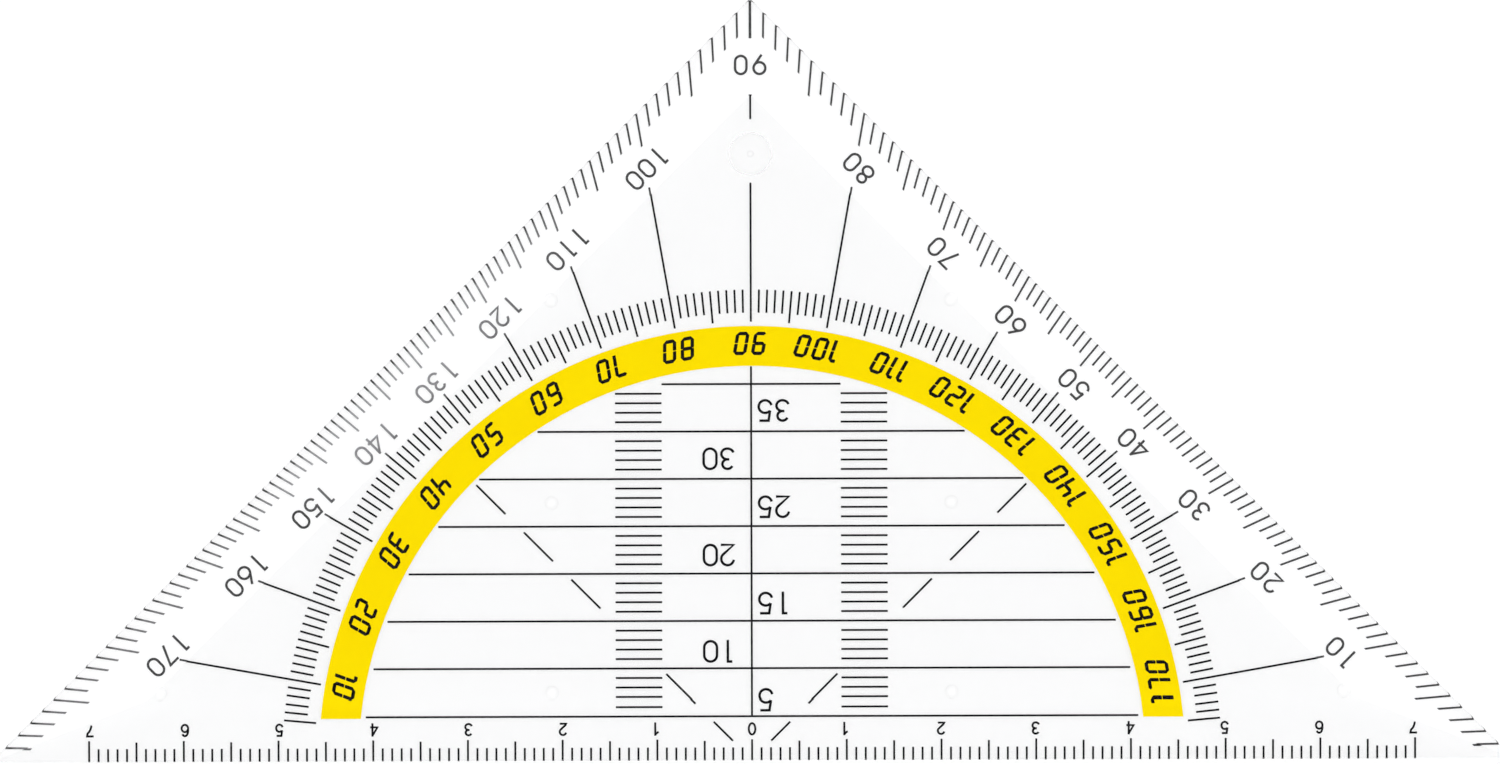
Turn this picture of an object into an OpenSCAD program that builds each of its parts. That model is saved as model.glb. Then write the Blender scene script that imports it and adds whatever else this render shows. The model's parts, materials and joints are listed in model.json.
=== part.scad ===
// Protractor set square: a clear right-angled isosceles plate with sloping margins.
// Its scales are ink on the underside, read from above through the plate.
// The origin is the middle of the ruling edge, at its foot, in the plane of the print.
// +X runs along the ruling edge, +Y points to the apex and +Z is the reading side.

/* [Plate] */
// Length of the ruling edge from tip to tip
plate_length = 160; // [140:1:220]
// Thickness of the flat middle
plate_thickness = 2; // [1.7:0.1:3]
// Height of the thin edge outside the sloping margins
edge_height = 1.2; // [0.9:0.1:1.5]
// Width of the sloping margin along each leg
leg_margin = 7.2; // [7:0.1:9]
// Width of the sloping margin along the ruling edge
ruling_margin = 6.5; // [5:0.1:9]
// Radius of the rounding along the top of every edge
edge_radius = 0.15; // [0.1:0.05:0.5]
// Radius of the apex and of the two tips
corner_radius = 0.3; // [0.2:0.05:0.8]

/* [Nibs that hold the print off the paper] */
// Radius of a nib where it meets the underside
nib_radius = 0.75; // [0.5:0.05:1]
// Height of a nib below the underside
nib_height = 0.28; // [0.2:0.01:0.4]
// Distance of the inner nibs from the middle of the plate
nib_column = 21.1; // [16:0.1:24]
// Height of the lowest row of nibs above the ruling edge
nib_low_row = 7.2; // [6:0.1:9]
// Height of the middle row of nibs above the ruling edge
nib_middle_row = 27.2; // [22:0.1:30]
// Distance of the outermost nibs from the legs
nib_leg_inset = 7.6; // [6:0.1:9]

/* [Moulding gate] */
// Distance of the gate from the sharp apex
gate_from_apex = 16.4; // [14:0.1:18]
// Radius of the recess round the gate, at the underside
gate_radius = 2.3; // [1.5:0.1:2.6]
// Depth of the recess in the underside
gate_depth = 0.3; // [0.2:0.05:0.5]
// How much the recess's radius shrinks from the underside to its floor
gate_draft = 0.1; // [0.05:0.05:0.3]
// Radius of the broken sprue where it leaves the recess's floor
sprue_radius = 0.4; // [0.25:0.05:0.6]
// Radius of the broken sprue at its end
sprue_end_radius = 0.2; // [0.1:0.05:0.25]
// Length of the broken sprue
sprue_length = 0.15; // [0.1:0.05:0.2]

/* [Print] */
// Thickness of the ink film
ink_thickness = 0.03; // [0.02:0.01:0.08]
// Gap between the ink film and the underside
ink_gap = 0.01; // [0.01:0.01:0.03]
// Width of a printed line
line_width = 0.21; // [0.1:0.01:0.25]
// Distance of the edge ticks' ends from the edge
edge_gap = 0.07; // [0.05:0.01:0.2]
// Height of the scales' zero point above the ruling edge
print_rise = 0.1; // [0:0.05:0.3]

/* [Ruler scale] */
// Length of a millimetre tick
millimetre_tick = 1.35; // [0.8:0.05:1.6]
// Length of a half centimetre tick
half_centimetre_tick = 2.05; // [1.2:0.05:2.4]
// Length of a centimetre tick
centimetre_tick = 2.2; // [1.4:0.05:2.8]
// Least clear length from the last tick to the tip
ruler_end_gap = 9; // [8:0.5:14]

/* [Degree scale along the legs] */
// Reach of a degree tick, measured square to the leg
leg_tick = 1.97; // [1.2:0.01:2.4]
// Reach of a five degree tick, measured square to the leg
leg_long_tick = 2.93; // [2:0.01:3.2]
// The one five degree tick on the right leg that is printed short, or 0 for none
short_five_degree = 35; // [0:5:85]
// Reach of that short tick, measured square to the leg
short_five_tick = 2.1; // [1.2:0.05:2.85]
// Distance of the ten degree rays' outer ends from the leg
ray_end_depth = 6.6; // [5:0.1:6.8]
// Mean clearance of the ninety degree ray's break from the gate's recess
gate_clearance = 1.05; // [0.5:0.05:1.5]
// How far the middle of that break lies above the gate
ray_break_lift = 0.3; // [0:0.05:0.4]

/* [Degree scale round the arc] */
// Length of a degree tick
arc_tick = 2.45; // [1.5:0.05:3]
// Length of a five degree tick
arc_long_tick = 3.4; // [2.5:0.1:4]
// First degree tick above the ruling edge at either end
arc_first_degree = 5; // [5:1:9]
// Gap between the ticks and the yellow band
band_gap = 0.44; // [0.3:0.02:1]
// Width of the yellow band
band_width = 4.22; // [3:0.02:6]
// Height of the band's flat ends above the zero point
band_foot = 4.45; // [3:0.05:6]

/* [Parallel lines] */
// Distance from one parallel line to the next
line_pitch = 5; // [4:0.5:8]
// How far below its full distance a line is printed, for the width of a pencil
pencil_offset = 0.38; // [0.2:0.02:0.5]
// Gap between the lowest line's ends and the band
line_end_gap = 0.54; // [0.5:0.02:1]
// Least gap between the middle line or a dash and the band
band_clearance = 0.05; // [0.05:0.05:0.3]
// Distance of a hatch column from the middle
hatch_inner = 9.45; // [8:0.05:11]
// Width of a hatch column
hatch_width = 4.92; // [3:0.02:6]
// Distance from one hatch line to the next
hatch_pitch = 1; // [1:0.5:2]
// Gap between a diagonal dash and the line beyond it
dash_gap = 1.36; // [1:0.02:2]
// Distance of the first diagonal dash from the zero point
dash_start = 2.85; // [2.6:0.05:3.5]

/* [Hidden] */
$fn = 96;

clear_plastic = [0.93, 0.95, 0.98, 0.45];
black_ink = [0.06, 0.06, 0.07];
yellow_ink = [0.98, 0.89, 0.02];

root2 = sqrt(2);
// Half length of the ruling edge, and height of the apex, before the corners are rounded
sharp_half = plate_length / 2 + root2 * corner_radius;
// Height of the sharp apex above the zero point, and distance of each leg from it
apex_rise = sharp_half - print_rise;
leg_distance = apex_rise / root2;
// Straight cuts reach past the plate by this much
reach = plate_length / 4;
// Chords in each rounded corner, and across the rounding of an edge
corner_chords = 8;
edge_chords = 4;
// How far fused shapes run into each other
overlap = 0.2;

nib_sphere_radius = (nib_radius * nib_radius + nib_height * nib_height) / (2 * nib_height);
nib_top_row = sharp_half - nib_column - nib_leg_inset * root2;
nib_outer_column = sharp_half - nib_low_row - nib_leg_inset * root2;
gate_height = sharp_half - gate_from_apex;

// The arc scale touches the ridges of the two leg margins
arc_outer = leg_distance - leg_margin;
arc_inner = arc_outer - arc_tick;
arc_long_inner = arc_outer - arc_long_tick;
band_outer = arc_long_inner - band_gap;
band_inner = band_outer - band_width;
// The two leg margins' ridges meet at this height above the zero point
ridge_apex = apex_rise - leg_margin * root2;
// The ninety degree ray stops below the gate and starts again above it
ray_break_rise = apex_rise - gate_from_apex + ray_break_lift;
ray_below_gate = ray_break_rise - gate_radius - gate_clearance;
ray_above_gate = ray_break_rise + gate_radius + gate_clearance;

ruler_reach = 10 * floor((plate_length / 2 - ruler_end_gap) / 10);

hatch_outer = hatch_inner + hatch_width;
// The columns' top hatch line stays inside the band
hatch_top = sqrt(band_inner * band_inner - hatch_outer * hatch_outer);
line_count = floor((hatch_top + hatch_pitch + pencil_offset) / line_pitch);
hatch_lines = ceil(line_pitch / hatch_pitch) - 1;
// The lines' ends lie on a circle round a point one pencil offset above the zero point
line_limit = band_inner - line_end_gap;
middle_limit = band_inner - band_clearance;
// A diagonal crosses a stripe between two parallel lines in this length
stripe_diagonal = line_pitch * root2;
dash_count = floor((middle_limit + dash_gap) / stripe_diagonal);

function line_height(n) = n * line_pitch - pencil_offset;
function polar(r, a) = [r * cos(a), r * sin(a)];
function arc_points(centre, radius, from, to, chords) =
    [for (i = [0 : chords]) centre + polar(radius, from + (to - from) * i / chords)];
function line_half(height) = sqrt(line_limit * line_limit - pow(height - pencil_offset, 2));
// Distance along the ray at angle a to a line parallel to the nearer leg
function ray_to_leg_line(distance, a) = distance / cos(a < 90 ? a - 45 : a - 135);
function is_five(a) = a % 5 == 0;
function is_ten(a) = a % 10 == 0;

// Plate

module outline() {
    tip_inset = corner_radius / tan(22.5);
    right_tip = [sharp_half - tip_inset, corner_radius];
    left_tip = [-right_tip.x, corner_radius];
    apex = [0, sharp_half - root2 * corner_radius];
    polygon(concat(
        arc_points(right_tip, corner_radius, -90, 45, corner_chords),
        arc_points(apex, corner_radius, 45, 135, corner_chords),
        arc_points(left_tip, corner_radius, 135, 270, corner_chords)
    ));
}

// Puts a cut along an edge: the edge lies on X, and the plate lies towards +Y
module along_ruling_edge() {
    children();
}

module along_right_leg() {
    translate([sharp_half / 2, sharp_half / 2, 0])
        rotate([0, 0, 135])
            children();
}

module along_left_leg() {
    translate([-sharp_half / 2, sharp_half / 2, 0])
        rotate([0, 0, 225])
            children();
}

// Everything above the rounding and the sloping margin of an edge
module edge_cut(margin) {
    slope = (plate_thickness - edge_height) / margin;
    lean = atan(slope);
    rounding_centre = [edge_radius, edge_height + edge_radius * (slope - 1 / cos(lean))];
    cut_width = margin + overlap;
    rotate([90, 0, 90])
        linear_extrude(2 * (sharp_half + reach), center = true)
            polygon(concat(
                [[-overlap, rounding_centre.y]],
                arc_points(rounding_centre, edge_radius, 180, 90 + lean, edge_chords),
                [
                    [cut_width, edge_height + slope * cut_width],
                    [cut_width, plate_thickness + reach],
                    [-overlap, plate_thickness + reach],
                ]
            ));
}

module nib() {
    intersection() {
        translate([0, 0, nib_sphere_radius - nib_height])
            sphere(r = nib_sphere_radius);
        translate([0, 0, -nib_height - overlap])
            cylinder(r = nib_sphere_radius + overlap, h = nib_height + 2 * overlap);
    }
}

module nibs() {
    for (side = [-1, 1]) {
        for (row = [nib_low_row, nib_middle_row, nib_top_row])
            translate([side * nib_column, row, 0])
                nib();
        translate([side * nib_outer_column, nib_low_row, 0])
            nib();
    }
}

module gate_recess() {
    spread = gate_draft * overlap / gate_depth;
    translate([0, gate_height, -overlap])
        cylinder(r1 = gate_radius + spread, r2 = gate_radius - gate_draft, h = gate_depth + overlap);
}

module sprue() {
    spread = (sprue_radius - sprue_end_radius) * overlap / sprue_length;
    translate([0, gate_height, gate_depth - sprue_length])
        cylinder(r1 = sprue_end_radius, r2 = sprue_radius + spread, h = sprue_length + overlap);
}

module plate() {
    color(clear_plastic) {
        difference() {
            linear_extrude(plate_thickness)
                outline();
            along_ruling_edge()
                edge_cut(ruling_margin);
            along_right_leg()
                edge_cut(leg_margin);
            along_left_leg()
                edge_cut(leg_margin);
            gate_recess();
        }
        nibs();
        sprue();
    }
}

// Print

// An ink film under the plate, drawn round the scales' zero point
module film() {
    translate([0, print_rise, -ink_gap - ink_thickness])
        linear_extrude(ink_thickness)
            children();
}

// A line between two distances along the ray at angle a
module radial_line(from, to, a) {
    rotate([0, 0, a])
        translate([from, -line_width / 2])
            square([to - from, line_width]);
}

module level_line(from, to, height) {
    translate([from, height - line_width / 2])
        square([to - from, line_width]);
}

module arc_band() {
    color(yellow_ink)
        film()
            difference() {
                circle(r = band_outer);
                circle(r = band_inner);
                translate([-band_outer - overlap, band_foot - 2 * band_outer])
                    square([2 * (band_outer + overlap), 2 * band_outer]);
            }
}

function ruler_tick_length(x) =
    is_ten(x) ? centimetre_tick : is_five(x) ? half_centimetre_tick : millimetre_tick;

module ruler_ticks() {
    color(black_ink)
        film()
            for (x = [-ruler_reach : ruler_reach])
                translate([x - line_width / 2, edge_gap - print_rise])
                    square([line_width, ruler_tick_length(x)]);
}

function leg_tick_reach(a) =
    a == short_five_degree ? short_five_tick : is_five(a) ? leg_long_tick : leg_tick;

// A degree tick whose two ends lie on lines parallel to the leg
module leg_degree_tick(a) {
    lean = tan(a < 90 ? a - 45 : a - 135);
    outer = leg_distance - edge_gap;
    inner = outer - leg_tick_reach(a);
    slant = lean * line_width / 2;
    rotate([0, 0, a])
        polygon([
            [ray_to_leg_line(inner, a) - slant, -line_width / 2],
            [ray_to_leg_line(outer, a) - slant, -line_width / 2],
            [ray_to_leg_line(outer, a) + slant, line_width / 2],
            [ray_to_leg_line(inner, a) + slant, line_width / 2],
        ]);
}

// The tick at the apex ends square, inside the rounded corner
module apex_tick() {
    outer = apex_rise - root2 * edge_gap;
    radial_line(outer - root2 * leg_long_tick, outer - corner_radius / 2, 90);
}

module right_leg_degree_ticks() {
    color(black_ink)
        film() {
            for (a = [1 : 89])
                leg_degree_tick(a);
            apex_tick();
        }
}

module left_leg_degree_ticks() {
    color(black_ink)
        film()
            for (a = [91 : 179])
                leg_degree_tick(a);
}

module arc_degree_ticks() {
    color(black_ink)
        film()
            for (a = [arc_first_degree : 180 - arc_first_degree])
                if (!is_ten(a))
                    radial_line(is_five(a) ? arc_long_inner : arc_inner, arc_outer, a);
}

module degree_rays() {
    color(black_ink)
        film() {
            for (a = [10 : 10 : 170])
                if (a != 90)
                    radial_line(arc_long_inner, ray_to_leg_line(leg_distance - ray_end_depth, a), a);
            radial_line(arc_long_inner, ray_below_gate, 90);
            radial_line(ray_above_gate, ridge_apex, 90);
        }
}

module parallel_line_shapes() {
    for (n = [1 : line_count]) {
        height = line_height(n);
        half = n < line_count ? line_half(height) : hatch_inner;
        level_line(-half, half, height);
    }
}

module parallel_lines() {
    color(black_ink)
        film()
            parallel_line_shapes();
}

module centre_line() {
    color(black_ink)
        film()
            difference() {
                radial_line(line_height(1), middle_limit, 90);
                parallel_line_shapes();
            }
}

module millimetre_hatch() {
    for (n = [1 : line_count - 1])
        for (i = [1 : hatch_lines])
            level_line(hatch_inner, hatch_outer, line_height(n) + i * hatch_pitch);
}

module right_millimetre_hatch() {
    color(black_ink)
        film()
            millimetre_hatch();
}

module left_millimetre_hatch() {
    color(black_ink)
        film()
            mirror([1, 0])
                millimetre_hatch();
}

// Dashes of a 45 degree line, one in each stripe that the hatch column leaves free
module diagonal_dashes() {
    for (i = [0 : dash_count - 1]) {
        from = max(dash_start, i * stripe_diagonal + dash_gap);
        to = (i + 1) * stripe_diagonal - dash_gap;
        if (to < hatch_inner * root2 || from > hatch_outer * root2)
            radial_line(from, to, 45);
    }
}

module right_diagonal_dashes() {
    color(black_ink)
        film()
            diagonal_dashes();
}

module left_diagonal_dashes() {
    color(black_ink)
        film()
            mirror([1, 0])
                diagonal_dashes();
}

plate();
arc_band();
ruler_ticks();
left_leg_degree_ticks();
right_leg_degree_ticks();
arc_degree_ticks();
degree_rays();
parallel_lines();
centre_line();
left_millimetre_hatch();
right_millimetre_hatch();
left_diagonal_dashes();
right_diagonal_dashes();
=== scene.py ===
import json
import math

import bpy
from bpy.props import FloatProperty, FloatVectorProperty, PointerProperty
from bpy.types import Operator, Panel, PropertyGroup
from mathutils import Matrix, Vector
from mathutils.geometry import delaunay_2d_cdt


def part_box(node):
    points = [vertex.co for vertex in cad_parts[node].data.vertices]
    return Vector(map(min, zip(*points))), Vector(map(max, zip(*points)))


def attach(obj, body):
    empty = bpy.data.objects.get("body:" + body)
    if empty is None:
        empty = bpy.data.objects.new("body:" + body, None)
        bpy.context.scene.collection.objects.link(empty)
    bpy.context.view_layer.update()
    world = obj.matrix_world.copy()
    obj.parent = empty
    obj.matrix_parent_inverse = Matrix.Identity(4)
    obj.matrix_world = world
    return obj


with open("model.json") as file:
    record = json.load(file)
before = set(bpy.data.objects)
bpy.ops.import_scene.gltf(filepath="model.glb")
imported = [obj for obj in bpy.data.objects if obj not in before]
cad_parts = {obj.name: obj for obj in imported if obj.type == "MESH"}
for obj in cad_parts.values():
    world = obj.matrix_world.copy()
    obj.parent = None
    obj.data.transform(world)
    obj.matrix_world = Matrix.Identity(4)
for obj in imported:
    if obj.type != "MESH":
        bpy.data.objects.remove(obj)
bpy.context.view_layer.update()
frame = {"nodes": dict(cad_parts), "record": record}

bl_info = {
    "name": "Protractor set square",
    "version": (1, 0, 0),
    "blender": (4, 5, 0),
    "location": "3D View > Sidebar > Set square",
    "description": "Clear plastic, inks, printed numbers and a white table top for a protractor set square",
    "category": "Object",
}

# Frame

MM = 0.001
BODY = "root"
PLATE_LOW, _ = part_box("plate")
INK_LOW, INK_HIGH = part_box("ruler_ticks")
_, BAND_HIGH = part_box("arc_band")
# Height of the plate's underside, which carries the print
PRINTED_SIDE = 0.0
PLASTIC_SLOT = "clear_plastic"
BLACK_SLOT = "black_ink"
YELLOW_SLOT = "yellow_ink"


def coat(slot, material):
    """Gives this material to each CAD node that the record puts in the slot."""
    for part in frame["record"]["subparts"]:
        if part["material_slot"] == slot:
            frame["nodes"][part["node"]].data.materials[0] = material


def leg_distance(rise):
    """How far each leg's edge lies from a point that is this high above the middle of the ruling edge."""
    mount = next(m for m in frame["record"]["mounts"] if m["name"] == "right_leg_edge")
    return (Vector(mount["pos_m"]) - Vector((0, rise, 0))).dot(Vector(mount["axis"]))


# Settings


def length(name, description, millimetres):
    """A length property, given in millimetres and held in metres."""
    return FloatProperty(
        name=name, description=description, default=millimetres * MM,
        subtype="DISTANCE", unit="LENGTH", precision=6,
    )


def share(name, description, value):
    """A property without a unit, such as a roughness."""
    return FloatProperty(name=name, description=description, default=value, subtype="FACTOR", precision=3)


def colour(name, description, value):
    """A colour property, in linear light."""
    return FloatVectorProperty(
        name=name, description=description, default=value, size=3, subtype="COLOR", min=0.0, max=1.0
    )


class SetSquareFinish(PropertyGroup):
    """Colours and finish of the plastic and of the two inks"""

    plastic_tint: colour(
        "Plastic tint", "Colour that the clear plastic gives to what is seen through it",
        (0.987, 0.988, 0.991),
    )
    # Painted shade: the darker tint of the plastic along its edges, and the width of that band
    worn_tint: colour("Worn tint", "Colour of the plastic along its worn edges", (0.8, 0.8, 0.81))
    worn_width: length("Worn width", "Width of the wear along the edges", 0.25)
    plastic_index: FloatProperty(
        name="Refractive index", description="Refractive index of the clear plastic",
        default=1.49, min=1.0, max=2.0,
    )
    polish: share("Polish", "Roughness of the polished moulding where it is clean", 0.004)
    scuff: share("Scuff", "Roughness of the moulding where it is scuffed", 0.03)
    waviness: length("Waviness", "Height of the long waves that moulding leaves in the surface", 0.002)
    black: colour("Black ink", "Colour of the black ink where it is full", (0.006, 0.006, 0.007))
    # Painted reflection: the paler black where a reflection is painted into the ink, which the ink's mottle
    # also leans towards
    thin_black: colour(
        "Thin black ink", "Colour of the black ink where it was printed thin", (0.26, 0.26, 0.27)
    )
    yellow: colour("Yellow ink", "Colour of the yellow ink where it is full", (0.97, 0.74, 0.0))
    thin_yellow: colour(
        "Thin yellow ink", "Colour of the yellow ink where it is thinner", (0.985, 0.78, 0.0)
    )


class SetSquareNumbers(PropertyGroup):
    """Sizes and places of the printed numbers"""

    zero_rise: length("Zero rise", "Height of the scales' zero point above the ruling edge", 0.1)

    ruler_height: length("Ruler number height", "Height of the numbers along the ruling edge", 1.42)
    ruler_stroke: length(
        "Ruler number stroke", "Width of the strokes of the numbers along the ruling edge", 0.22
    )
    ruler_row: length("Ruler number row", "Height of those numbers' middles above the zero point", 3.28)
    ruler_pitch: length("Ruler number pitch", "Distance from one of those numbers to the next", 9.98)

    leg_height: length("Leg number height", "Height of the numbers along the legs", 2.18)
    leg_stroke: length("Leg number stroke", "Width of the strokes of the numbers along the legs", 0.26)
    right_pitch: length(
        "Right leg figure pitch", "Distance from one figure to the next along the right leg", 1.88
    )
    left_pitch: length(
        "Left leg figure pitch", "Distance from one figure to the next along the left leg", 1.8
    )
    right_row_top: length(
        "Right row, at the apex", "Depth of the right leg's numbers at eighty degrees", 4.69
    )
    right_row_tip: length("Right row, at the tip", "Depth of the right leg's numbers at ten degrees", 5.03)
    left_row_top: length(
        "Left row, at the apex", "Depth of the left leg's numbers at a hundred degrees", 5.0
    )
    left_row_tip: length("Left row, at the tip", "Depth of the left leg's numbers at 170 degrees", 5.37)
    apex_row: length(
        "Ninety degree number", "Height of the ninety degree number above the zero point", 73.26
    )

    band_height: length("Band number height", "Height of the numbers on the yellow band", 2.46)
    band_radius: length("Band number radius", "Radius of the ring of those numbers' middles", 43.8)
    band_shift: length(
        "Band number shift", "How far the middle of that ring lies right of the zero point", 0.1
    )
    band_rise: length(
        "Band number rise", "How far the middle of that ring lies above the zero point", 0.1
    )
    band_pitch: length("Band figure pitch", "Distance from one figure to the next on the band", 1.9)
    band_one_pitch: length("Band figure pitch after a one", "Distance from a one to the next figure", 1.12)
    band_lead: length("Band number lead", "How far before its ray a number on the band starts", 2.11)
    band_one_lead: length(
        "Band number lead with a one", "How far before its ray a number that starts with a one starts", 1.67
    )

    line_height: length("Line number height", "Height of the numbers on the parallel lines", 2.42)
    line_stroke: length(
        "Line number stroke", "Width of the strokes of the numbers on the parallel lines", 0.27
    )
    line_pitch: length(
        "Line figure pitch", "Distance from one figure to the next on the parallel lines", 1.82
    )
    line_row_start: length("Line number start", "Height that the rows of those numbers count from", 1.24)
    line_row_pitch: length(
        "Line number row pitch", "Distance from one row of those numbers to the next", 5.083
    )
    line_right: length("Right column", "Place of the last figure in the column right of the middle", 1.48)
    line_left: length("Left column", "Place of the last figure in the column left of the middle", -4.35)


class SetSquareStage(PropertyGroup):
    """Camera, table top and light"""

    view_width: length("View width", "Width that the picture shows at the print", 158.43)
    view_x: length(
        "View middle, along the edge", "Where the middle of the picture lies along the ruling edge", -0.106
    )
    view_y: length(
        "View middle, above the edge", "Where the middle of the picture lies above the ruling edge", 39.93
    )
    view_roll: FloatProperty(
        name="View roll", description="How far the object is turned in the picture",
        default=math.radians(0.1715), subtype="ANGLE",
    )
    camera_height: length("Camera height", "Height of the camera above the print", 1200)
    table: colour("Table top", "Colour of the table top", (0.25, 0.25, 0.25))
    table_lift: share(
        "Table lift", "Light that the table top adds for the camera, so that it shows white", 0.785
    )
    walls: colour("Walls", "Light of the room at low heights", (0.3, 0.3, 0.3))
    sky: colour("Sky", "Light of the room higher up", (1.0, 1.0, 1.0))
    ceiling: colour("Ceiling", "Light of the room overhead, where the camera hangs", (0.01, 0.01, 0.015))
    room_light: FloatProperty(
        name="Room light", description="Strength of the room's light", default=1.52, min=0.0
    )
    lamp_power: FloatProperty(
        name="Lamp power", description="Power of each of the two soft lamps",
        default=2.4, subtype="POWER", unit="POWER",
    )


# Material nodes


def new_material(name):
    """A material that has no nodes yet, and its node tree."""
    material = bpy.data.materials.new(name)
    material.use_nodes = True
    material.node_tree.nodes.clear()
    return material, material.node_tree


def add_node(tree, kind, **settings):
    """A new node of this kind, with these settings."""
    node = tree.nodes.new(kind)
    for name, value in settings.items():
        setattr(node, name, value)
    return node


def shader(tree, values):
    """A Principled shader with these socket values, wired to the material's output."""
    node = add_node(tree, "ShaderNodeBsdfPrincipled")
    for name, value in values.items():
        node.inputs[name].default_value = value
    output = add_node(tree, "ShaderNodeOutputMaterial")
    tree.links.new(node.outputs["BSDF"], output.inputs["Surface"])
    return node


def feed(tree, socket, value):
    """Gives a socket a plain value or colour, or links it to another node's socket."""
    if isinstance(value, bpy.types.NodeSocket):
        tree.links.new(value, socket)
    elif socket.type == "RGBA":
        socket.default_value = (*value, 1)
    else:
        socket.default_value = value


def calculated(tree, operation, first, second):
    """What a sum of this kind makes of two values."""
    node = add_node(tree, "ShaderNodeMath", operation=operation)
    feed(tree, node.inputs[0], first)
    feed(tree, node.inputs[1], second)
    return node.outputs["Value"]


def mixed(tree, factor, first, second):
    """A colour between two others."""
    node = add_node(tree, "ShaderNodeMix", data_type="RGBA")
    colours = [socket for socket in node.inputs if socket.type == "RGBA"]
    feed(tree, colours[0], first)
    feed(tree, colours[1], second)
    tree.links.new(factor, node.inputs["Factor"])
    return next(socket for socket in node.outputs if socket.type == "RGBA")


def ranged(tree, value, from_low, from_high, to_low, to_high):
    """A value carried from one range to another, and held inside it."""
    node = add_node(tree, "ShaderNodeMapRange")
    ends = {"From Min": from_low, "From Max": from_high, "To Min": to_low, "To Max": to_high}
    for name, end in ends.items():
        node.inputs[name].default_value = end
    tree.links.new(value, node.inputs["Value"])
    return node.outputs["Result"]


def between(tree, value, rise, fall):
    """One between the stretches where this value rises and falls, and nothing outside them."""
    risen, fallen = ranged(tree, value, *rise, 0, 1), ranged(tree, value, *fall, 1, 0)
    return calculated(tree, "MINIMUM", risen, fallen)


def measured(tree, way, coordinates="Object"):
    """How far a point of the object, or a direction of the room's light, reaches this way."""
    place = add_node(tree, "ShaderNodeTexCoord")
    node = add_node(tree, "ShaderNodeVectorMath", operation="DOT_PRODUCT")
    node.inputs[1].default_value = way
    tree.links.new(place.outputs[coordinates], node.inputs[0])
    return node.outputs["Value"]


def noise(tree, scale, detail, stretch=(1, 1, 1)):
    """A noise value over the object's own metres."""
    place = add_node(tree, "ShaderNodeTexCoord")
    mapping = add_node(tree, "ShaderNodeMapping")
    mapping.inputs["Scale"].default_value = stretch
    texture = add_node(tree, "ShaderNodeTexNoise")
    texture.inputs["Scale"].default_value = scale
    texture.inputs["Detail"].default_value = detail
    tree.links.new(place.outputs["Object"], mapping.inputs["Vector"])
    tree.links.new(mapping.outputs["Vector"], texture.inputs["Vector"])
    return texture.outputs["Fac"]


def spots(tree, shows, gives, **grain):
    """A noise that rises between two of its values, carried to a range of its own."""
    return ranged(tree, noise(tree, **grain), *shows, *gives)


# Materials

TOWARDS_LEFT_LEG = (-math.sqrt(0.5), math.sqrt(0.5), 0)
TOWARDS_RIGHT_LEG = (math.sqrt(0.5), math.sqrt(0.5), 0)
TOWARDS_FOOT = (0, -1, 0)
UP_LEFT_LEG = TOWARDS_RIGHT_LEG

# The plastic's noises: breaks in the painted shade along its edges, patches of fine scratches across the
# plate, and what moulding leaves
EDGE_SHADE_BREAKS = {"scale": 600, "detail": 3, "shows": (0.3, 0.6), "gives": (0.5, 1)}
SCUFF_PATCHES = {"scale": 90, "detail": 4, "shows": (0.5, 0.75), "gives": (0, 1)}
SCUFF_HAIRS = {"scale": 220, "detail": 2, "stretch": (1, 14, 1), "shows": (0.5, 0.8), "gives": (0, 1)}
WAVES = {"scale": 70, "detail": 1}
WAVE_STRENGTH = 0.5

# The inks' noises: the specks in the black, and the streaks and the grain of the yellow
MOTTLE = {"scale": 2600, "detail": 3, "shows": (0.35, 0.75), "gives": (0, 0.05)}
STREAKS = {"scale": 160, "detail": 3, "shows": (0.35, 0.7), "gives": (0, 0.6)}
GRAIN = {"scale": 3000, "detail": 2, "shows": (0.4, 0.7), "gives": (0, 0.4)}
BLACK_ROUGHNESS = 0.5
YELLOW_ROUGHNESS = 0.55
TABLE_ROUGHNESS = 0.9

# A painted reflection lightens the black ink along the middle of the left leg, and less so in its ticks down
# to the tip.
# The rows' inner borders are measured from the origin towards the leg, and the lightened stretches up along
# it.
NUMBER_ROW = (49.6 * MM, 51.5 * MM)
TICK_ROW = (53 * MM, 54 * MM)
REFLECTION_ALONG_NUMBERS = (-15 * MM, -8 * MM), (8 * MM, 27 * MM)
REFLECTION_ALONG_TICKS = (-26 * MM, -14 * MM), (12 * MM, 32 * MM)
REFLECTION_IN_NUMBERS = 0.85
REFLECTION_AT_TIP = 0.48
# Depths from the leg's edge between which the painted reflection on the ticks fades out
REFLECTION_FADE_AT_EDGE = (0.9 * MM, 0.5 * MM)


def clear_plastic(finish):
    """Polished moulding: clear, with painted shade darkening its tint along the edges, faint scuffs in its
    polish and long shallow waves.
    """
    material, tree = new_material("moulded_plastic")
    plastic = shader(tree, {"Transmission Weight": 1.0, "IOR": finish.plastic_index})
    # Painted shade: the tint turns darker in a broken band along the edges
    tint = mixed(tree, edge_wear(tree, finish.worn_width), finish.plastic_tint, finish.worn_tint)
    tree.links.new(tint, plastic.inputs["Base Color"])
    scuffs = calculated(tree, "MULTIPLY", spots(tree, **SCUFF_PATCHES), spots(tree, **SCUFF_HAIRS))
    roughness = ranged(tree, scuffs, 0, 1, finish.polish, finish.scuff)
    tree.links.new(roughness, plastic.inputs["Roughness"])
    waves = add_node(tree, "ShaderNodeBump")
    waves.inputs["Distance"].default_value = finish.waviness
    waves.inputs["Strength"].default_value = WAVE_STRENGTH
    tree.links.new(noise(tree, **WAVES), waves.inputs["Height"])
    tree.links.new(waves.outputs["Normal"], plastic.inputs["Normal"])
    return material


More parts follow.
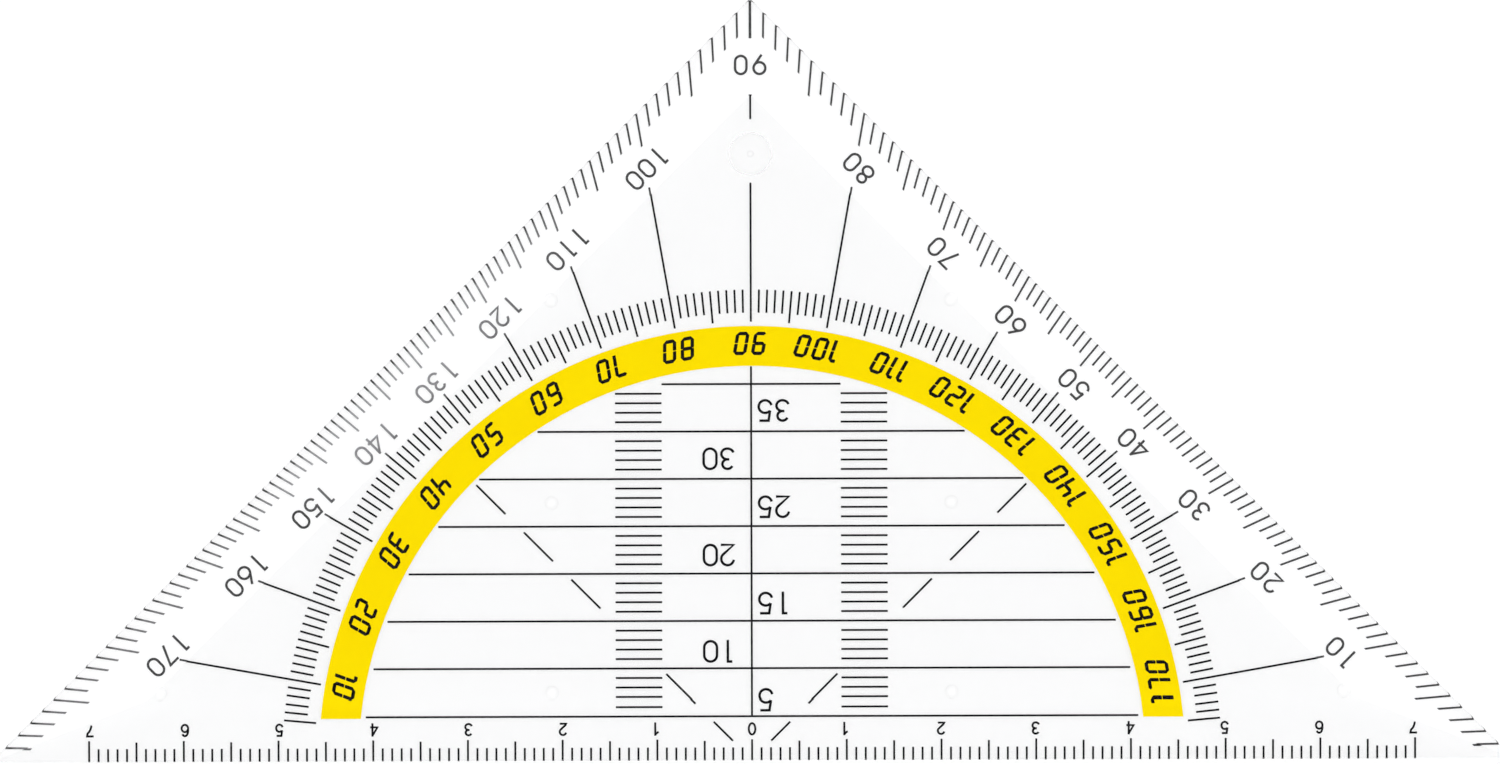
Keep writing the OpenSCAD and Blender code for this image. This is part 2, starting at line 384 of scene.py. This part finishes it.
def edge_wear(tree, width):
    """How much painted shade darkens the plastic's tint: along its three edges, over this width, and
    unevenly.
    """
    edge = leg_distance(0)
    to_left, to_right = measured(tree, TOWARDS_LEFT_LEG), measured(tree, TOWARDS_RIGHT_LEG)
    to_legs = calculated(tree, "MAXIMUM", to_left, to_right)
    to_foot = calculated(tree, "ADD", measured(tree, TOWARDS_FOOT), edge)
    to_edge = calculated(tree, "MAXIMUM", to_legs, to_foot)
    rim = ranged(tree, to_edge, edge - width, edge, 0, 1)
    return calculated(tree, "MULTIPLY", rim, spots(tree, **EDGE_SHADE_BREAKS))


def black_ink(finish):
    """Printed black: it covers well and mottles a little, and a painted reflection lightens it in places."""
    material, tree = new_material("printed_black")
    ink = shader(tree, {"Roughness": BLACK_ROUGHNESS, "Specular IOR Level": 0.0})
    # The black is lightened by its mottle and by a painted reflection along the left leg
    lightening = calculated(tree, "ADD", thin_places(tree), spots(tree, **MOTTLE))
    tree.links.new(mixed(tree, lightening, finish.black, finish.thin_black), ink.inputs["Base Color"])
    return material


def thin_places(tree):
    """How strongly a painted reflection lightens the black ink: in the left leg's numbers and ticks, but not
    at the ticks' outer ends.
    """
    to_leg, up_leg = measured(tree, TOWARDS_LEFT_LEG), measured(tree, UP_LEFT_LEG)
    number_row = calculated(tree, "MULTIPLY", between(tree, to_leg, NUMBER_ROW, TICK_ROW), REFLECTION_IN_NUMBERS)
    in_numbers = calculated(tree, "MULTIPLY", between(tree, up_leg, *REFLECTION_ALONG_NUMBERS), number_row)
    reflection_ends = [leg_distance(0) - depth for depth in REFLECTION_FADE_AT_EDGE]
    tick_row = between(tree, to_leg, TICK_ROW, reflection_ends)
    to_tip = ranged(tree, up_leg, *REFLECTION_ALONG_TICKS[1], REFLECTION_AT_TIP, 0)
    along = calculated(tree, "MAXIMUM", between(tree, up_leg, *REFLECTION_ALONG_TICKS), to_tip)
    in_ticks = calculated(tree, "MULTIPLY", along, tick_row)
    return calculated(tree, "MAXIMUM", in_numbers, in_ticks)


def yellow_ink(finish):
    """Printed yellow: a strong flat coat with slight streaks where it is thinner."""
    material, tree = new_material("printed_yellow")
    ink = shader(tree, {"Roughness": YELLOW_ROUGHNESS, "Specular IOR Level": 0.0})
    lightening = calculated(tree, "ADD", spots(tree, **STREAKS), spots(tree, **GRAIN))
    tree.links.new(mixed(tree, lightening, finish.yellow, finish.thin_yellow), ink.inputs["Base Color"])
    return material


def table_top(stage):
    """A board that shows white to what looks at it, and throws less light on the object than white would."""
    material, tree = new_material("table_top")
    board = shader(tree, {
        "Base Color": (*stage.table, 1),
        "Roughness": TABLE_ROUGHNESS,
        "Specular IOR Level": 0.0,
        "Emission Color": (1, 1, 1, 1),
    })
    rays = add_node(tree, "ShaderNodeLightPath")
    looks = calculated(tree, "MAXIMUM", rays.outputs["Is Camera Ray"], rays.outputs["Is Glossy Ray"])
    looks = calculated(tree, "MAXIMUM", looks, rays.outputs["Is Transmission Ray"])
    lift = calculated(tree, "MULTIPLY", looks, stage.table_lift)
    tree.links.new(lift, board.inputs["Emission Strength"])
    return material


def finished(name, make, context):
    """The material of this name, made on first use."""
    return bpy.data.materials.get(name) or make(context.scene.set_square_finish)


# Figures: each is a list of areas, and an area is one closed line, or the two lines of a ring

# Degrees from one point of an arc to the next, at most
ARC_STEP = 11.25
# How many times half its width a stroke may reach at a corner
MITRE_LIMIT = 1.7
# Points of a figure that lie closer together than this become one
MERGE_DISTANCE = 1e-5
# Figures are one unit high from their foot
FIGURE_MIDDLE = 0.5


def direction(angle):
    """The direction at this angle, in degrees."""
    return Vector((math.cos(math.radians(angle)), math.sin(math.radians(angle))))


def square_to(way):
    """The direction a quarter turn to the left."""
    return Vector((-way.y, way.x))


def path(*points):
    """Points joined by straight lines."""
    return [Vector(p) for p in points]


def arc(middle, radii, start, stop):
    """Points along an ellipse from one angle to another, in degrees."""
    steps = max(2, math.ceil(abs(stop - start) / ARC_STEP))
    angles = [math.radians(start + (stop - start) * i / steps) for i in range(steps + 1)]
    return [Vector((middle[0] + radii[0] * math.cos(a), middle[1] + radii[1] * math.sin(a))) for a in angles]


def oval(middle, radii):
    """Points round a whole ellipse."""
    return arc(middle, radii, 0, 360)[:-1]


def stroke_sides(points, half, closed):
    """The two lines that run half a stroke to the left and to the right of a middle line."""
    left, right = [], []
    last = len(points) - 1
    for i, point in enumerate(points):
        arrives = point - points[i - 1] if closed or i > 0 else points[1] - point
        leaves = points[(i + 1) % len(points)] - point if closed or i < last else point - points[i - 1]
        normal = (square_to(arrives.normalized()) + square_to(leaves.normalized())).normalized()
        lean = max(normal.dot(square_to(arrives.normalized())), 1 / MITRE_LIMIT)
        left.append(point + normal * half / lean)
        right.append(point - normal * half / lean)
    return left, right


def stroke(points, half):
    """The area of an open stroke."""
    left, right = stroke_sides(points, half, False)
    return [left + right[::-1]]


def ring(points, half):
    """The area of a closed stroke, whose last point isn't its first again."""
    return list(stroke_sides(points, half, True))


def tangent_point(outside, middle, radius):
    """Where a line from an outside point touches a circle on its left."""
    offset = Vector(outside) - Vector(middle)
    turn = math.atan2(offset.y, offset.x) + math.acos(radius / offset.length)
    return Vector(middle) + radius * Vector((math.cos(turn), math.sin(turn)))


def turned(areas):
    """The areas of a figure stood on its head."""
    return [[[Vector((-p.x, 1 - p.y)) for p in line] for line in area] for area in areas]


def plain_figures(half):
    """Round technical figures, one unit high between the middles of their top and bottom strokes."""
    wide = 0.314
    foot = -half
    cap = 1 + half
    bowl = 0.325
    waist = 0.53
    low = waist / 2
    high = (1 + waist) / 2
    stadium = arc((0, 1 - wide), (wide, wide), 0, 180) + arc((0, wide), (wide, wide), 180, 360)
    tail_end = (0.12, cap)
    six = [
        ring(oval((0, bowl), (bowl, bowl)), half),
        stroke([Vector(tail_end), tangent_point(tail_end, (0, bowl), bowl)], half),
    ]
    return {
        "0": [ring(stadium, half)],
        "1": [stroke(path((-0.22, 1), (0, 1), (0, foot)), half)],
        "2": [stroke(arc((0, 0.69), (0.31, 0.31), 172, -48) + path((-0.303, 0), (0.33, 0)), half)],
        "3": [
            stroke(arc((-0.01, high), (0.25, 1 - high), 158, -90) + path((-0.1, waist)), half),
            stroke(path((-0.1, waist)) + arc((-0.01, low), (0.3, low), 90, -165), half),
        ],
        "4": [
            stroke(path((0.2, 1), (-0.33, 0.245), (0.36, 0.245)), half),
            stroke(path((0.2, cap), (0.2, foot)), half),
        ],
        "5": [
            stroke(path((0.28, 1), (-0.17, 1), (-0.245, 0.5)), half),
            stroke(arc((0, 0.31), (0.315, 0.31), 140, -168), half),
        ],
        "6": six,
        "7": [stroke(path((-0.31, 1), (0.3, 1), (-0.17, foot)), half)],
        "8": [
            ring(oval((0, high), (0.25, 1 - high)), half),
            ring(oval((0, low), (0.31, low)), half),
        ],
        "9": turned(six),
    }


def ruler_figures(half):
    """Narrow figures with curved tails, one unit high between the middles of their strokes."""
    wide = 0.285
    foot = -half
    cap = 1 + half
    waist = 0.53
    low = waist / 2
    high = (1 + waist) / 2
    two_foot = path((0.02, 0.34), (-0.2, 0.14), (-0.28, 0), (wide, 0))
    return {
        "0": [ring(oval((0, FIGURE_MIDDLE), (wide, FIGURE_MIDDLE)), half)],
        "1": [
            stroke(path((-0.1, 0.74), (0.05, 0.83), (0.2, 1)), half),
            stroke(path((0.2, cap), (0.2, foot)), half),
        ],
        "2": [stroke(arc((0, 0.71), (wide, 0.29), 165, -30) + two_foot, half)],
        "3": [
            stroke(arc((-0.01, high), (0.255, 1 - high), 158, -90) + path((-0.1, waist)), half),
            stroke(path((-0.1, waist)) + arc((-0.01, low), (wide, low), 90, -165), half),
        ],
        "4": [
            stroke(path((0.13, 1), (-0.31, 0.27), (0.33, 0.27)), half),
            stroke(path((0.13, cap), (0.13, foot)), half),
        ],
        "5": [
            stroke(path((0.25, 1), (-0.17, 1), (-0.24, 0.5)), half),
            stroke(arc((0, 0.32), (wide, 0.32), 140, -165), half),
        ],
        "6": [
            ring(oval((0, 0.32), (wide, 0.32)), half),
            stroke(arc((0, FIGURE_MIDDLE), (wide, FIGURE_MIDDLE), 40, 200), half),
        ],
        "7": [stroke(path((-0.29, 1), (0.29, 1)) + arc((0.55, -0.1), (0.65, 0.96), 118, 172), half)],
    }


# The width of a figure of segments, half the width of a segment, and the gap's half, as shares of its height
SEGMENT_WIDTH = 0.58
SEGMENT_HALF = 0.075
SEGMENT_GAP = 0.013
SEGMENT_LEAN = math.tan(math.radians(10))
# How far a foot that stands free reaches past the middle of a bottom segment
FREE_FOOT = 0.055
# A one stands this far inside its narrow place, with a flag of this length
ONE_INSET = 0.13
ONE_FLAG = 0.24
# How much of a segment's half width is cut off the corners of an end, at a joint and at the middle
CORNER_CUT = 0.9
MIDDLE_CUT = 0.3
UPRIGHT = "bcef"
SEGMENTS = {
    "0": "abcdef", "2": "abged", "3": "abgcd", "4": "fgb",
    "5": "afgcd", "6": "afgedc", "7": "ab", "8": "abcdefg", "9": "abcdfg",
}
# Figures whose lower right segment stands free as a foot
FREE_FOOTED = "47"


def bar_end(end, inward, cut):
    """The corners round one end of a segment, from its left to its right as seen along it from this end."""
    across = square_to(inward)
    tip = across * (1 - cut)
    return [end + inward * cut + across, end + tip, end - tip, end + inward * cut - across]


def bar(start, stop, start_cut, stop_cut):
    """A segment that leans as italics do, with the corners of its ends cut by these shares."""
    inward = (stop - start).normalized() * SEGMENT_HALF
    corners = bar_end(start, inward, start_cut) + bar_end(stop, -inward, stop_cut)
    return [[Vector((p.x + SEGMENT_LEAN * p.y, p.y)) for p in corners]]


def segment_figures():
    """Figures of seven leaning segments, one unit high overall, that start at the left.

    The segments join at the corners, and the upright ones run from there to just short of the middle.
    """
    left, right = SEGMENT_HALF, SEGMENT_WIDTH - SEGMENT_HALF
    low, middle, high = SEGMENT_HALF, FIGURE_MIDDLE, 1 - SEGMENT_HALF
    below, above = middle - SEGMENT_GAP, middle + SEGMENT_GAP
    ends = {
        "a": path((left, high), (right, high)),
        "b": path((right, high), (right, above)),
        "c": path((right, low), (right, below)),
        "d": path((left, low), (right, low)),
        "e": path((left, low), (left, below)),
        "f": path((left, high), (left, above)),
        "g": path((left, middle), (right, middle)),
    }
    bars = {s: bar(*ends[s], CORNER_CUT, MIDDLE_CUT if s in UPRIGHT else CORNER_CUT) for s in ends}
    foot = bar(*path((right, low - FREE_FOOT), (right, below)), MIDDLE_CUT, MIDDLE_CUT)
    figures = {figure: [bars[s] for s in segments] for figure, segments in SEGMENTS.items()}
    for figure in FREE_FOOTED:
        figures[figure].append(foot)
    # A one is narrow, with a short flag on top
    stem = left + ONE_INSET
    figures["1"] = [
        bar(*path((stem, high), (stem, above)), CORNER_CUT, MIDDLE_CUT),
        bar(*path((stem, low - FREE_FOOT), (stem, below)), MIDDLE_CUT, MIDDLE_CUT),
        bar(*path((stem, high), (stem - ONE_FLAG, high)), CORNER_CUT, MIDDLE_CUT),
    ]
    return figures


# Films of printed figures


def facing_up(line):
    """The closed line, run so that its inside lies to the left."""
    area = sum(a.x * b.y - a.y * b.x for a, b in zip(line, line[1:] + line[:1]))
    return line if area > 0 else line[::-1]


def covered(areas):
    """The points and triangles of all that a figure's areas cover together."""
    points, lines, groups = [], [], []
    for area in areas:
        groups.append(set(range(len(lines), len(lines) + len(area))))
        for line in area:
            lines.append(list(range(len(points), len(points) + len(line))))
            points.extend(facing_up(line))
    points, _, triangles, _, _, inside = delaunay_2d_cdt(points, [], lines, 1, MERGE_DISTANCE, True)
    # A point lies in a ring if it is inside one of its two lines, and in a plain area if inside its one
    kept = [t for t, within in zip(triangles, inside) if any(len(g & set(within)) == 1 for g in groups)]
    return points, kept


class Print:
    """Collects figures in the print plane and turns them into one thin closed film."""

    def __init__(self, figures, unit):
        self.shapes = {figure: covered(areas) for figure, areas in figures.items()}
        self.unit = unit
        self.verts = []
        self.faces = []
        self.edges = []

    def add(self, figure, middle, up):
        """Puts a figure with the middle of its height at a point in the print plane."""
        points, triangles = self.shapes[figure]
        right = -square_to(up)
        used = sorted({corner for triangle in triangles for corner in triangle})
        index = {old: len(self.verts) + new for new, old in enumerate(used)}
        self.verts += [
            middle + (right * points[i].x + up * (points[i].y - FIGURE_MIDDLE)) * self.unit for i in used
        ]
        triangles = [[index[corner] for corner in triangle] for triangle in triangles]
        self.faces += triangles
        ways = {(t[i - 1], t[i]) for t in triangles for i in range(len(t))}
        self.edges += sorted(way for way in ways if way[::-1] not in ways)

    def mesh(self, name, low, high):
        """A closed mesh with the figures' faces above and below, and walls round their rims."""
        count = len(self.verts)
        verts = [(v.x, v.y, high) for v in self.verts] + [(v.x, v.y, low) for v in self.verts]
        below = [[corner + count for corner in face[::-1]] for face in self.faces]
        walls = [(b, a, a + count, b + count) for a, b in self.edges]
        mesh = bpy.data.meshes.new(name)
        mesh.from_pydata(verts, [], self.faces + below + walls)
        if mesh.validate():
            raise RuntimeError(f"{name}: the film isn't a clean mesh")
        mesh.update()
        return mesh


def stroke_print(figures, height, width):
    """A print of stroked figures of this overall height and stroke width."""
    unit = height - width
    return Print(figures(width / 2 / unit), unit)


def add_number_piece(context, name, film, low, high):
    """Makes the film a piece of the object, in black ink."""
    piece = bpy.data.objects.new(name, film.mesh(name, low, high))
    context.collection.objects.link(piece)
    piece.data.materials.append(finished("printed_black", black_ink, context))
    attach(piece, BODY)


# Pieces


class SETSQUARE_OT_plate(Operator):
    """Gives the moulded plate its clear plastic"""

    bl_idname = "set_square.plate"
    bl_label = "Clear plate"

    def execute(self, context):
        coat(PLASTIC_SLOT, finished("moulded_plastic", clear_plastic, context))
        return {"FINISHED"}


class SETSQUARE_OT_scales(Operator):
    """Gives the scales, rays and lines their black ink"""

    bl_idname = "set_square.scales"
    bl_label = "Scales and lines"

    def execute(self, context):
        coat(BLACK_SLOT, finished("printed_black", black_ink, context))
        return {"FINISHED"}


class SETSQUARE_OT_band(Operator):
    """Gives the half ring under the arc's numbers its yellow ink"""

    bl_idname = "set_square.band"
    bl_label = "Yellow band"

    def execute(self, context):
        coat(YELLOW_SLOT, finished("printed_yellow", yellow_ink, context))
        return {"FINISHED"}


# The ruler counts from the middle to this number on both sides
RULER_LAST = 7
HEAD_DOWN = Vector((0, -1))


class SETSQUARE_OT_ruler_numbers(Operator):
    """Prints the centimetres along the ruling edge"""

    bl_idname = "set_square.ruler_numbers"
    bl_label = "Ruler numbers"

    def execute(self, context):
        sizes = context.scene.set_square_numbers
        film = stroke_print(ruler_figures, sizes.ruler_height, sizes.ruler_stroke)
        row = sizes.zero_rise + sizes.ruler_row
        for n in range(-RULER_LAST, RULER_LAST + 1):
            film.add(str(abs(n)), Vector((n * sizes.ruler_pitch, row)), HEAD_DOWN)
        add_number_piece(context, "ruler_numerals", film, INK_LOW.z, INK_HIGH.z)
        return {"FINISHED"}


DEGREE_STEP = 10
APEX_DEGREES = 90
HALF_CIRCLE = 180
# The direction square to each leg, and the leg's numbers next to the apex and next to the tip
RIGHT_LEG, RIGHT_TOP, RIGHT_TIP = 45, 80, 10
LEFT_LEG, LEFT_TOP, LEFT_TIP = 135, 100, 170
# How far a number along a leg is printed past its place, towards larger angles, in millimetres
LEG_NUDGE = {
    10: 1.0, 20: 0.15, 30: 0.65, 40: 0.4, 50: 0.2, 60: 0.3, 70: 0.05, 80: 0.45,
    100: -0.15, 110: -0.35, 120: -0.5, 130: -0.25, 140: -0.15, 150: 0.0, 160: -0.15, 170: -0.35,
}


class SETSQUARE_OT_leg_numbers(Operator):
    """Prints the degrees along the two legs"""

    bl_idname = "set_square.leg_numbers"
    bl_label = "Leg numbers"

    def execute(self, context):
        sizes = context.scene.set_square_numbers
        film = stroke_print(plain_figures, sizes.leg_height, sizes.leg_stroke)
        zero = Vector((0, sizes.zero_rise))
        edge = leg_distance(sizes.zero_rise)
        for degrees in range(RIGHT_TIP, RIGHT_TOP + 1, DEGREE_STEP):
            depth = self.depth(degrees, RIGHT_LEG, RIGHT_TIP, sizes.right_row_top, sizes.right_row_tip)
            self.add_number(film, zero, edge - depth, RIGHT_LEG, degrees, sizes.right_pitch)
        for degrees in range(LEFT_TOP, LEFT_TIP + 1, DEGREE_STEP):
            depth = self.depth(degrees, LEFT_LEG, LEFT_TIP, sizes.left_row_top, sizes.left_row_tip)
            self.add_number(film, zero, edge - depth, LEFT_LEG, degrees, sizes.left_pitch)
        for side, figure in zip((1, -1), str(APEX_DEGREES)):
            film.add(figure, zero + Vector((side * sizes.right_pitch / 2, sizes.apex_row)), HEAD_DOWN)
        add_number_piece(context, "leg_numerals", film, INK_LOW.z, INK_HIGH.z)
        return {"FINISHED"}

    @staticmethod
    def depth(degrees, leg, tip, top_depth, tip_depth):
        """Depth of the row at this number: the row runs almost along the leg, on a straight line."""
        to_number = math.tan(math.radians(degrees - leg))
        to_tip = math.tan(math.radians(tip - leg))
        return top_depth + (tip_depth - top_depth) * (1 + to_number / to_tip) / 2

    @staticmethod
    def add_number(film, zero, distance, leg, degrees, pitch):
        """Prints a number with its second figure near its ray, and its head turned in."""
        outward = direction(leg)
        ray = math.tan(math.radians(degrees - leg)) * distance + LEG_NUDGE[degrees] * MM
        for i, figure in enumerate(str(degrees)):
            place = zero + outward * distance + square_to(outward) * (ray + (i - 1) * pitch)
            film.add(figure, place, -outward)


# How far a number on the band is printed past its place, towards the left end, in millimetres
BAND_NUDGE = {20: 0.15, 80: 0.37, 90: 0.4, 110: 0.1, 120: 0.1, 160: -0.15, 170: -0.3}
# How far a number on the band is printed inside its ring, in millimetres
BAND_SINK = {160: 0.1, 170: 0.15}
# Shares of the gap between the yellow band and the plate that the band's numbers leave free below and above
FREE_BELOW = 0.1
FREE_ABOVE = 0.3


class SETSQUARE_OT_band_numbers(Operator):
    """Prints the degrees on the yellow band, between it and the plate"""

    bl_idname = "set_square.band_numbers"
    bl_label = "Band numbers"

    def execute(self, context):
        sizes = context.scene.set_square_numbers
        film = Print(segment_figures(), sizes.band_height)
        middle = Vector((sizes.band_shift, sizes.zero_rise + sizes.band_rise))
        for degrees in range(DEGREE_STEP, HALF_CIRCLE, DEGREE_STEP):
            ray = direction(HALF_CIRCLE - degrees)
            number = str(degrees)
            start = BAND_NUDGE.get(degrees, 0) * MM
            start -= sizes.band_one_lead if number[0] == "1" else sizes.band_lead
            radius = sizes.band_radius - BAND_SINK.get(degrees, 0) * MM
            for figure in number:
                film.add(figure, middle + ray * radius + square_to(ray) * start, -ray)
                start += sizes.band_one_pitch if figure == "1" else sizes.band_pitch
        gap = PRINTED_SIDE - BAND_HIGH.z
        low, high = BAND_HIGH.z + FREE_BELOW * gap, PRINTED_SIDE - FREE_ABOVE * gap
        add_number_piece(context, "band_numerals", film, low, high)
        return {"FINISHED"}


LINE_NUMBERS = 7
LINE_STEP = 5


class SETSQUARE_OT_line_numbers(Operator):
    """Prints the distances of the parallel lines beside the middle line"""

    bl_idname = "set_square.line_numbers"
    bl_label = "Line numbers"

    def execute(self, context):
        sizes = context.scene.set_square_numbers
        film = stroke_print(plain_figures, sizes.line_height, sizes.line_stroke)
        for n in range(1, LINE_NUMBERS + 1):
            row = sizes.zero_rise + sizes.line_row_start + n * sizes.line_row_pitch
            place = sizes.line_right if n % 2 else sizes.line_left
            for figure in reversed(str(n * LINE_STEP)):
                film.add(figure, Vector((place, row)), HEAD_DOWN)
                place += sizes.line_pitch
        add_number_piece(context, "line_numerals", film, INK_LOW.z, INK_HIGH.z)
        return {"FINISHED"}


# Stage

LIGHT_BOUNCES = 128
# Half the table's side, the lamps' size and place, and what the camera sees, in metres
TABLE_HALF = 4.0
LAMP_SIDE = 0.9
LAMP_DISTANCE = 1.1
LAMP_BACK = 0.275
LAMP_HEIGHT = 1.1
CLIP_NEAR = 0.1
CLIP_FAR = 20
# Sines of the heights at which the walls end and the sky is full
WALLS_TO = math.sin(math.radians(27))
SKY_FROM = math.sin(math.radians(53))
UPWARDS = (0, 0, 1)
# The dark part of the ceiling leans from straight up to the foot's side, and is darkest inside its core
CEILING_WAY = (0, -math.sin(math.radians(9)), math.cos(math.radians(9)))
CEILING_CORE = math.cos(math.radians(16))
CEILING_RIM = math.cos(math.radians(18.5))


class SETSQUARE_OT_stage(Operator):
    """Sets up the table top, the soft light and the camera straight above"""

    bl_idname = "set_square.stage"
    bl_label = "Table top, light and camera"

    def execute(self, context):
        stage = context.scene.set_square_stage
        context.scene.view_settings.view_transform = "Standard"
        self.let_light_through(context.scene.cycles)
        self.add_table(context, stage)
        self.add_room(context, stage)
        for side in (-1, 1):
            self.add_lamp(context, stage, side)
        self.add_camera(context, stage)
        return {"FINISHED"}

    @staticmethod
    def let_light_through(cycles):
        """Light that comes through the plate isn't blurred, and may run along inside it to another edge."""
        cycles.blur_glossy = 0
        cycles.max_bounces = LIGHT_BOUNCES
        cycles.glossy_bounces = LIGHT_BOUNCES
        cycles.transmission_bounces = LIGHT_BOUNCES

    @staticmethod
    def add_table(context, stage):
        """A board under the nibs."""
        sides = (-1, -1), (1, -1), (1, 1), (-1, 1)
        corners = [(x * TABLE_HALF, y * TABLE_HALF, PLATE_LOW.z) for x, y in sides]
        mesh = bpy.data.meshes.new("table_top")
        mesh.from_pydata(corners, [], [(0, 1, 2, 3)])
        mesh.materials.append(table_top(stage))
        table = bpy.data.objects.new("table_top", mesh)
        context.collection.objects.link(table)

    @staticmethod
    def add_room(context, stage):
        """A pale room with dim walls and a dark part overhead, so that the plate mirrors more than white."""
        world = bpy.data.worlds.new("room")
        world.use_nodes = True
        tree = world.node_tree
        tree.nodes.clear()
        height = ranged(tree, measured(tree, UPWARDS, "Generated"), WALLS_TO, SKY_FROM, 0, 1)
        room = mixed(tree, height, stage.walls, stage.sky)
        to_ceiling = measured(tree, CEILING_WAY, "Generated")
        overhead = ranged(tree, to_ceiling, CEILING_RIM, CEILING_CORE, 0, 1)
        light = add_node(tree, "ShaderNodeBackground")
        light.inputs["Strength"].default_value = stage.room_light
        output = add_node(tree, "ShaderNodeOutputWorld")
        tree.links.new(mixed(tree, overhead, room, stage.ceiling), light.inputs["Color"])
        tree.links.new(light.outputs["Background"], output.inputs["Surface"])
        context.scene.world = world

    @staticmethod
    def add_lamp(context, stage, side):
        """A soft lamp beside the object, aimed at it."""
        lamp = bpy.data.lights.new("soft_lamp", "AREA")
        lamp.size = LAMP_SIDE
        lamp.energy = stage.lamp_power
        holder = bpy.data.objects.new("soft_lamp", lamp)
        holder.location = (side * LAMP_DISTANCE, LAMP_BACK, LAMP_HEIGHT)
        holder.rotation_euler = (-holder.location).to_track_quat("-Z", "Y").to_euler()
        holder.visible_camera = False
        context.collection.objects.link(holder)

    @staticmethod
    def add_camera(context, stage):
        """A long lens straight above, turned as the object lies in the picture."""
        lens = bpy.data.cameras.new("camera")
        lens.lens = lens.sensor_width * stage.camera_height / stage.view_width
        lens.clip_start = CLIP_NEAR
        lens.clip_end = CLIP_FAR
        camera = bpy.data.objects.new("camera", lens)
        camera.location = (stage.view_x, stage.view_y, stage.camera_height)
        camera.rotation_euler = (0, 0, -stage.view_roll)
        context.collection.objects.link(camera)
        context.scene.camera = camera


# Add-on

OPERATORS = (
    SETSQUARE_OT_plate,
    SETSQUARE_OT_scales,
    SETSQUARE_OT_band,
    SETSQUARE_OT_ruler_numbers,
    SETSQUARE_OT_leg_numbers,
    SETSQUARE_OT_band_numbers,
    SETSQUARE_OT_line_numbers,
    SETSQUARE_OT_stage,
)


class SETSQUARE_PT_panel(Panel):
    """Lists the pieces of the set square and the stage"""

    bl_idname = "SETSQUARE_PT_panel"
    bl_label = "Set square"
    bl_space_type = "VIEW_3D"
    bl_region_type = "UI"
    bl_category = "Set square"

    def draw(self, context):
        for operator in OPERATORS:
            self.layout.operator(operator.bl_idname)


SETTINGS = {
    "set_square_finish": SetSquareFinish,
    "set_square_numbers": SetSquareNumbers,
    "set_square_stage": SetSquareStage,
}
CLASSES = (*SETTINGS.values(), *OPERATORS, SETSQUARE_PT_panel)


def register():
    for cls in CLASSES:
        bpy.utils.register_class(cls)
    for name, group in SETTINGS.items():
        setattr(bpy.types.Scene, name, PointerProperty(type=group))


def unregister():
    for name in SETTINGS:
        delattr(bpy.types.Scene, name)
    for cls in reversed(CLASSES):
        bpy.utils.unregister_class(cls)


def main():
    register()
    for operator in OPERATORS:
        group, name = operator.bl_idname.split(".")
        getattr(getattr(bpy.ops, group), name)()


if __name__ == "__main__":
    main()
